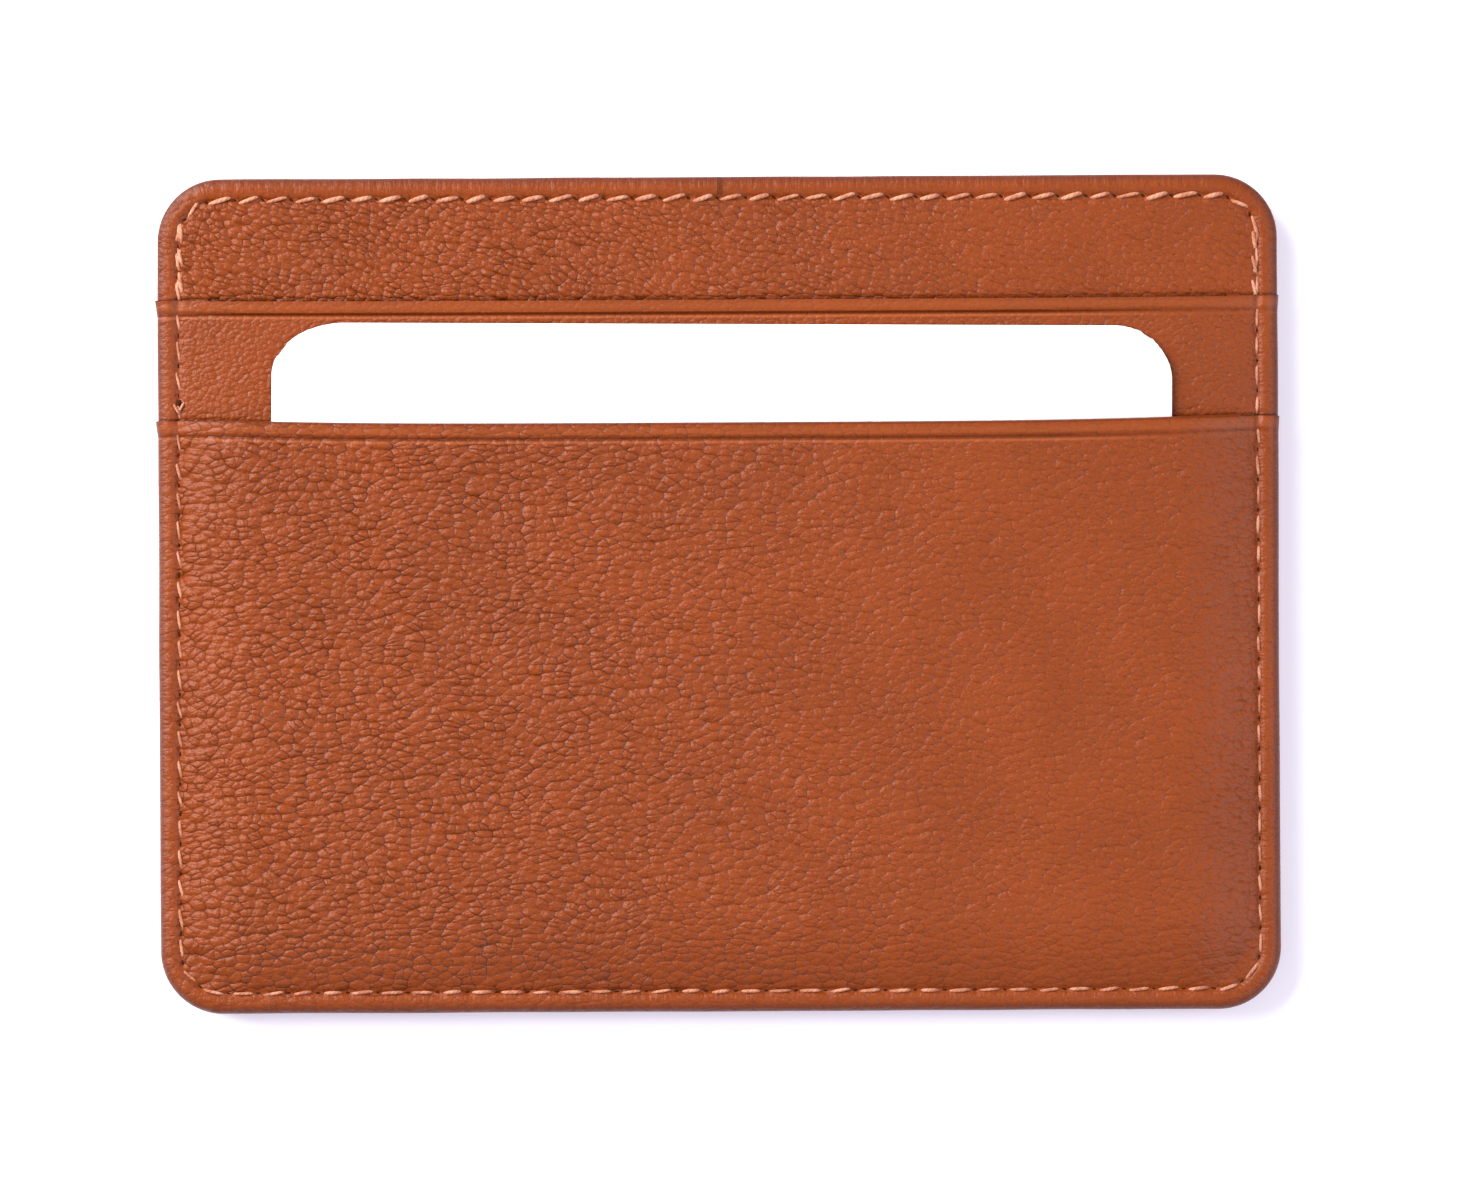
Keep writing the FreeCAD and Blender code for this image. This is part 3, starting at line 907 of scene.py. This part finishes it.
# %% One material and its nodes
class Shop:
    """One material and its nodes."""

    def __init__(self, name, **settings):
        self.material = bpy.data.materials.new(name)
        self.material.use_nodes = True
        self.tree = self.material.node_tree
        self.shader = self.tree.nodes["Principled BSDF"]
        for socket, value in settings.items():
            self.shader.inputs[socket.replace("_", " ")].default_value = value

    def add(self, kind, settings, inputs, output=0):
        """Adds a node. Settings are set first, and then each input gets a value or a link."""
        node = self.tree.nodes.new(kind)
        for name, value in settings.items():
            setattr(node, name, value)
        for name, value in inputs.items():
            self.feed(node.inputs[name], value)
        return Wire(self, node.outputs[output])

    def maths(self, operation, *values):
        return self.add("ShaderNodeMath", {"operation": operation}, dict(enumerate(values)))

    def feed(self, socket, value):
        if isinstance(value, Wire):
            self.tree.links.new(value.socket, socket)
        else:
            socket.default_value = value

    def place(self, scale=(1, 1, 1), shift=(0, 0, 0)):
        """The object's coordinates in millimetres, stretched by scale and shifted."""
        spot = self.add("ShaderNodeTexCoord", {}, {}, "Object")
        return self.add("ShaderNodeMapping", {}, {
            "Vector": spot, "Scale": tuple(part / MM for part in scale), "Location": shift})

    def sized(self, place, size_x, size_y, turn):
        """Coordinates in which one unit is size_x by size_y millimetres, turned by some degrees."""
        return self.add("ShaderNodeMapping", {"vector_type": "TEXTURE"}, {
            "Vector": place, "Rotation": (0, 0, math.radians(turn)), "Scale": (size_x, size_y, 2.0)})

    def bend(self, place, scale, reach):
        """Coordinates pushed about by noise, up to half of reach each way."""
        push = self.noise(place, scale, 1.0, output="Color")
        push = self.add("ShaderNodeVectorMath", {"operation": "SUBTRACT"}, {0: push, 1: (0.5, 0.5, 0.5)})
        push = self.add("ShaderNodeVectorMath", {"operation": "SCALE"}, {0: push, "Scale": reach})
        return self.add("ShaderNodeVectorMath", {"operation": "ADD"}, {0: place, 1: push})

    def step(self, value, low, high):
        """0 below low, 1 above high and smooth between."""
        return self.add("ShaderNodeMapRange", {"interpolation_type": "SMOOTHSTEP"},
                        {"Value": value, "From Min": low, "From Max": high})

    def fall(self, value, low, high):
        """1 below low, 0 above high and smooth between."""
        return 1 - self.step(value, low, high)

    def line(self, value, centre, inner, outer):
        """1 within inner of the centre, 0 beyond outer and smooth between."""
        return self.fall(self.maths("ABSOLUTE", value - centre), inner, outer)

    def noise(self, place, scale, detail=2.0, rough=0.5, output=0):
        return self.add("ShaderNodeTexNoise", {"noise_dimensions": "2D"}, {
            "Vector": place, "Scale": scale, "Detail": detail, "Roughness": rough}, output)

    def cells(self, place, feature):
        """Distances in a net of irregular cells, one unit wide."""
        return self.add("ShaderNodeTexVoronoi", {"feature": feature, "voronoi_dimensions": "2D"}, {
            "Vector": place, "Scale": 1.0})

    def sine(self, value):
        return self.maths("SINE", value)

    def part(self, vector, axis):
        return self.add("ShaderNodeSeparateXYZ", {}, {"Vector": vector}, axis)

    def rise(self, value, speed):
        """0 at 0, rising fast at first and then slowly towards 1."""
        return 1 - self.maths("EXPONENT", value * -speed)

    def mix(self, share, first, second):
        """A colour between two colours."""
        first, second = ((*c, 1) if isinstance(c, tuple) else c for c in (first, second))
        return self.add("ShaderNodeMix", {"data_type": "RGBA"}, {0: share, 6: first, 7: second}, 2)

    def finish(self, colour, roughness, height=None):
        """Feeds the shader. The height is in millimetres."""
        self.feed(self.shader.inputs["Base Color"], colour)
        self.feed(self.shader.inputs["Roughness"], roughness)
        if height:
            bump = self.add("ShaderNodeBump", {}, {"Height": height * MM, "Strength": 1.0, "Distance": 1.0})
            self.feed(self.shader.inputs["Normal"], bump)
        return self.material


def dress(piece, material):
    piece.data.materials.clear()
    piece.data.materials.append(material)


# %% [markdown]
# ## The leather's finish
# Milled calf leather shows soft pebbles parted by fine creases, deep where the hide was loose and
# nearly gone where it was tight. Voronoi cells give the pebbles, their edges give the creases, and noise
# bends them so that no cell is straight. Shade is painted into the colour: in the creases and small
# hollows, along the outer rim, along a hem's pressed line, at each mouth's edge and under the next mouth.
# Painted highlights make a hem's lip and the top of its roll paler. Lengths here are in millimetres.

# %% Leather
TAN = (0.234, 0.0430, 0.0052)
# Painted shade, painted shade along the rim, and a painted highlight:
SHADE_TAN = (0.070, 0.0110, 0.0025)
RIM_SHADE_TAN = (0.078, 0.0220, 0.0170)
HIGHLIGHT_TAN = (0.42, 0.120, 0.040)
HEM_TOP = 0.62
HEM_LINE = HEM_WIDTH / MM
HEM_LIP = 1.58
NO_MOUTH = 500.0


def leather_finish(name, shift, gap, sag, wide, tall, turn, depth, fade, hem):
    """Pebbled tan leather.

    wide, tall and turn are a pebble's size and lean. depth is that of the creases, fade is how much of it
    goes towards the right, and hem is 1 for a piece with a hem. gap is how far below this piece's mouth
    the next one lies, where a shadow is painted along it, and sag is how much that one droops.
    """
    shop = Shop(name, Specular_IOR_Level=0.23)
    spot = shop.place(shift=shift)

    # the pebbles, from the large net of cells down to the grit
    flow = shop.bend(spot, 0.10, 1.5)
    bent = shop.bend(shop.bend(flow, 0.8, 0.18), 2.8, 0.09)
    pebbles = shop.sized(bent, wide, tall, turn)
    edges = shop.cells(pebbles, "DISTANCE_TO_EDGE")
    centres = shop.cells(pebbles, "F1")
    fine = shop.cells(shop.sized(bent, 0.36, 0.25, turn - 15), "F1")
    folds = shop.noise(shop.sized(flow, wide * 3.0, tall * 1.5, turn), 1.0, 3.0, 0.55)
    grit = shop.noise(spot, 4.2, 3.0, 0.65)
    broken = shop.step(shop.noise(bent, 0.55), 0.36, 0.62)

    # the rim with its pleats, and how slack the hide is
    edge_map = shop.add("ShaderNodeUVMap", {"uv_map": "edge_map"}, {})
    inward = shop.part(edge_map, "Y")
    border = shop.fall(inward, 1.45, 2.0)
    beside = shop.step(inward, 1.9, 2.2) * shop.fall(inward, 2.4, 4.6)
    along = shop.add("ShaderNodeCombineXYZ", {}, {"X": shop.part(edge_map, "X") * 1.7, "Y": inward * 0.3})
    pleats = shop.noise(along, 1.0, 3.0, 0.6)
    patch = shop.step(shop.noise(spot, 0.16), 0.30, 0.62)
    across = shop.part(shop.place(), "X")
    slack = 1 - fade * shop.step(across + 28.0 * (shop.noise(spot, 0.045) - 0.5), -26, 34)
    slack = slack * (0.88 + 0.12 * patch) * depth * (1 - 0.6 * border)

    # the hem, its painted shade and highlights, and the painted shadow where the next mouth lies
    mouth_map = shop.add("ShaderNodeUVMap", {"uv_map": "mouth_map"}, {})
    below, sideways = shop.part(mouth_map, "Y"), shop.part(mouth_map, "X")
    hem_fade = hem * (1 - 0.85 * shop.step(sideways, 28, 44))
    hem_crease_shade = shop.line(below, HEM_LINE, 0.04, 0.20) * hem_fade
    hem_lip_highlight = shop.line(below, HEM_LIP, 0.03, 0.18) * hem_fade
    hem_roll_highlight = shop.line(below, HEM_TOP, 0.10, 0.50) * hem
    in_hem = shop.fall(below, 1.3, 1.9)
    lift = ((sideways / (MOUTH_REACH / MM)) ** 2.0) ** 2.0 - 0.25
    # The line under the next mouth, drooping with it, where a shadow is painted.
    gap_shadow = shop.line(below + lift * sag, gap, 0.02, 0.16)

    height = slack * (0.050 * broken * slack * shop.rise(edges, 7.0) - 0.25 * centres * centres)
    height = height + 0.14 * slack * folds - 0.022 * (1.4 + slack) * fine * fine + 0.036 * grit
    height = height * (1 - 0.55 * in_hem) + (0.11 * border + 0.04 * beside) * pleats

    mottle = shop.step(shop.noise(spot, 0.10, 3.0), 0.3, 0.7)
    colour = shop.mix(mottle, tuple(0.95 * p for p in TAN), tuple(1.05 * p for p in TAN))
    # Painted shade: darker in the creases where the hide is slack, in the fine hollows and in the grit's low
    # spots.
    crease = shop.fall(edges, 0.0, 0.09) * (0.25 + 0.75 * broken)
    colour = shop.mix(crease * slack * 0.80, colour, SHADE_TAN)
    colour = shop.mix(shop.step(fine, 0.42, 0.85) * 0.16, colour, SHADE_TAN)
    colour = shop.mix(shop.fall(grit, 0.34, 0.56) * 0.12, colour, SHADE_TAN)
    # Painted shade along the outer rim, where it turns down.
    colour = shop.mix(shop.fall(inward, 0.1, 0.9) * 0.6, colour, RIM_SHADE_TAN)
    # Painted highlights on the hem's lip below the crease and on the top of its roll.
    colour = shop.mix(hem_lip_highlight * 0.35 + hem_roll_highlight * 0.14, colour, HIGHLIGHT_TAN)
    # Painted shade along the hem's pressed crease.
    colour = shop.mix(hem_crease_shade * 0.5, colour, SHADE_TAN)
    # Painted shade at this piece's own mouth edge.
    colour = shop.mix(shop.fall(below, 0.0, 0.13) * 0.55, colour, SHADE_TAN)
    # Painted shadow where the next mouth lies over this piece.
    colour = shop.mix(gap_shadow * 0.7, colour, SHADE_TAN)
    return shop.finish(colour, 0.37 + 0.16 * (grit - 0.5), height)


hides = {
    "panel": {"wide": 0.80, "tall": 0.54, "turn": -14, "depth": 1.0, "fade": 0.55, "hem": 0},
    "upper_pocket": {"wide": 0.60, "tall": 0.42, "turn": 14, "depth": 0.45, "fade": 0.20, "hem": 1},
    "lower_pocket": {"wide": 1.05, "tall": 0.62, "turn": 7, "depth": 1.10, "fade": 0.60, "hem": 1},
}
for number, ((side, layer), piece) in enumerate(leathers.items()):
    over = layer_over[layer]
    gap = (mouth_at[layer] - mouth_at[over]) / MM if over else NO_MOUTH
    sag = droop[over] / MM if over else 0.0
    shift = (13.7 * number, 7.3 * number, 0)
    dress(piece, leather_finish(f"{side}_{layer}_leather", shift, gap, sag, **hides[layer]))
print("leather finishes:", len(leathers))

# %% [markdown]
# ## Thread and needle holes
# The thread is two plies twisted together, a little paler than the leather. The twist follows each
# stitch's own UV map, and shade is painted into the grooves between the plies. The needle holes are
# rough, and painted nearly black as the shade deep inside them.

# %% Thread and needle hole finishes
PLY_SHADE = (0.24, 0.06, 0.02)


def thread_finish(name, dark, pale):
    """Waxed thread of two plies. dark and pale are the two ends of its uneven dye."""
    shop = Shop(name, Specular_IOR_Level=0.3)
    twist = shop.add("ShaderNodeTexCoord", {}, {}, "UV")
    around, along = shop.part(twist, "X"), shop.part(twist, "Y")
    ply = shop.step(shop.sine((around * 2 + along * 9) * math.pi * 2), -1.0, 0.4)
    spot = shop.place()
    tone = shop.noise(spot, 0.9)
    fibre = shop.noise(spot, 14.0)
    colour = shop.mix(shop.step(tone, 0.35, 0.65), dark, pale)
    # Painted shade in the grooves between the plies.
    colour = shop.mix((1 - ply) * 0.28, colour, PLY_SHADE)
    return shop.finish(colour, 0.5 + 0.15 * fibre, 0.025 * ply + 0.03 * fibre)


def hole_shade_finish():
    shop = Shop("needle_hole", Specular_IOR_Level=0.1)
    grit = shop.noise(shop.place(), 6.0)
    # The nearly black colour is painted shade, the shade deep inside a hole.
    colour = shop.mix(grit, (0.020, 0.006, 0.003), (0.060, 0.016, 0.007))
    return shop.finish(colour, 0.8 + 0.1 * grit, 0.01 * grit)


hem_thread = thread_finish("hem_thread", (0.46, 0.165, 0.088), (0.64, 0.30, 0.180))
seam_thread = thread_finish("seam_thread", (0.42, 0.145, 0.080), (0.62, 0.28, 0.165))
needle_hole = hole_shade_finish()
for row in threads:
    dress(row, seam_thread if "seam" in row.name else hem_thread)
for row in needle_holes:
    dress(row, needle_hole)
print("dressed threads:", len(threads))

# %% [markdown]
# ## Cloth, board and card
# Two crossed sines make the weave of the lining, stretched noise the fibres of the board, and fine noise
# the faint tooth of smooth card.

# %% Cloth, board and card finishes
WEAVE = 22.0


def cloth_finish():
    shop = Shop("lining_cloth", Specular_IOR_Level=0.25, Sheen_Weight=0.3)
    spot = shop.place()
    warp = shop.sine(shop.part(spot, "X") * WEAVE)
    weft = shop.sine(shop.part(spot, "Y") * WEAVE)
    weave = shop.step(warp * weft, -0.8, 0.8)
    colour = shop.mix(weave, (0.075, 0.026, 0.014), (0.16, 0.058, 0.03))
    return shop.finish(colour, 0.75 + 0.1 * weave, 0.03 * weave)


def board_finish():
    shop = Shop("stiffener_board", Specular_IOR_Level=0.2)
    fibre = shop.noise(shop.place((0.4, 2.0, 1)), 3.0, 3.0)
    colour = shop.mix(fibre, (0.34, 0.28, 0.20), (0.52, 0.45, 0.35))
    return shop.finish(colour, 0.8 + 0.1 * fibre, 0.02 * fibre)


def card_finish():
    shop = Shop("white_card", Specular_IOR_Level=0.3)
    tooth = shop.noise(shop.place(), 8.0, 3.0)
    colour = shop.mix(tooth, (0.90, 0.90, 0.90), (0.95, 0.95, 0.95))
    return shop.finish(colour, 0.5 + 0.1 * tooth, 0.004 * tooth)


lining_cloth = cloth_finish()
for sheet in linings:
    dress(sheet, lining_cloth)
stiffener_board = board_finish()
for side in outward:
    dress(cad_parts[f"{side}_stiffener"], stiffener_board)
dress(white_card, card_finish())
print("materials:", len(bpy.data.materials))

# %% [markdown]
# ## The table
# The holder lies on a plain white table. It gives off a faint violet light of its own, so that the
# shadows on it stay pale and cool.

# %% Table
bpy.ops.mesh.primitive_plane_add(size=3, location=(0, 0, -0.02 * MM))
floor = bpy.context.object
floor.name = "table"
GLOW = (0.72, 0.62, 1.0, 1)
table = Shop("white_table", Specular_IOR_Level=0.2, Emission_Color=GLOW, Emission_Strength=0.2)
tone = table.noise(table.place(), 0.05)
dress(floor, table.finish(table.mix(tone, (0.93, 0.93, 0.93), (0.95, 0.95, 0.95)), 0.7))
print("table in m:", [round(x, 2) for x in floor.dimensions])

# %% [markdown]
# ## Light
# A large lamp stands low to the upper left, as a window does, and shades the grain and the hems. A
# second one far to the right keeps the shadows soft, and a white sky fills the rest.

# %% Lamps and sky
def lamp(name, place, size, power, colour):
    """A square lamp that faces the holder."""
    bpy.ops.object.light_add(type="AREA", location=place)
    light = bpy.context.object
    light.name = name
    light.data.size = size
    light.data.energy = power
    light.data.color = colour
    light.rotation_euler = Vector(place).to_track_quat("Z", "Y").to_euler()


lamp("window_lamp", (-0.52, 0.34, 0.42), size=0.60, power=12.2, colour=(1.0, 0.985, 0.96))
lamp("fill_lamp", (1.15, -0.35, 1.15), size=1.4, power=19.0, colour=(0.94, 0.92, 1.0))
sky = bpy.data.worlds.new("studio")
sky.use_nodes = True
backdrop = sky.node_tree.nodes["Background"]
backdrop.inputs["Color"].default_value = (0.93, 0.92, 1.0, 1)
backdrop.inputs["Strength"].default_value = 0.45
bpy.context.scene.world = sky
bpy.context.scene.view_settings.view_transform = "Standard"
print("lamps:", [light.name for light in bpy.data.lights])

# %% [markdown]
# ## Camera
# The camera looks straight down. Its lens follows from its height and from the width that it takes in
# at the height of the holder's outline.

# %% Camera
VIEW_WIDTH = 130.2 * MM
OUTLINE_HEIGHT = 3.0 * MM
CAMERA_HEIGHT = 0.70
SENSOR = 36
camera_data = bpy.data.cameras.new("camera")
camera_data.sensor_width = SENSOR
camera_data.lens = SENSOR * (CAMERA_HEIGHT - OUTLINE_HEIGHT) / VIEW_WIDTH
camera = bpy.data.objects.new("camera", camera_data)
camera.location = (0.94 * MM, -0.53 * MM, CAMERA_HEIGHT)
camera.rotation_euler = (0, 0, math.radians(-0.3))
bpy.context.collection.objects.link(camera)
bpy.context.scene.camera = camera
print("lens in mm:", round(camera_data.lens, 1))
